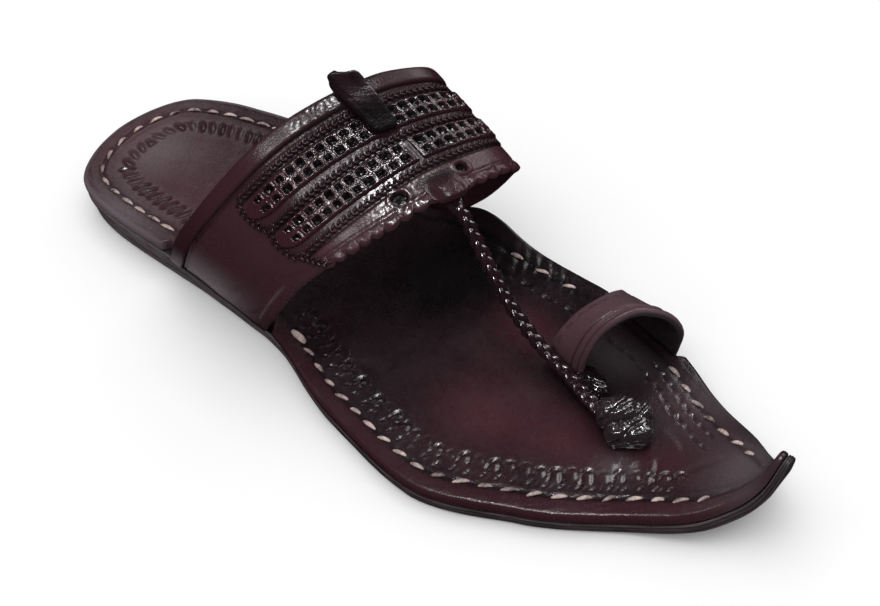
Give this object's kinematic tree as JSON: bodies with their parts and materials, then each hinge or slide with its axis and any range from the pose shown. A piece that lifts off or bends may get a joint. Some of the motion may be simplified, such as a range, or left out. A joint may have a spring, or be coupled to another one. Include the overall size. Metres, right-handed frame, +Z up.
{
  "type": "kolhapuri sandal",
  "caption": "Dark brown leather sandal for the right foot, with a punched instep band, a plaited strap to a toe knot, a big-toe loop and a sole that turns up to a point at the toe.",
  "frame": {"origin": "bottom centre of the bounding box, on the floor", "axes": "+X from heel to toe, +Y towards the inner side of the foot, +Z up"},
  "size_m": [0.2876, 0.1021, 0.0903],
  "materials": {
    "sole_leather": "dark burnished edge",
    "insole_leather": "polished, worn in the middle",
    "upper_leather": "waxed and polished",
    "binding_leather": "semi-gloss",
    "panel_leather": "polished, punched",
    "stitch_thread": "matte waxed thread"
  },
  "bodies": {
    "root": {"heel_lift": "sole_leather", "outsole": "sole_leather", "insole": "insole_leather", "upper": "upper_leather", "rear_binding": "binding_leather", "panel_rear_lateral": "panel_leather", "panel_rear_medial": "panel_leather", "panel_front_lateral": "panel_leather", "panel_front_medial": "panel_leather", "centre_roll": "upper_leather", "front_tab": "binding_leather", "toe_knot": "upper_leather"}
  },
  "joints": []
}
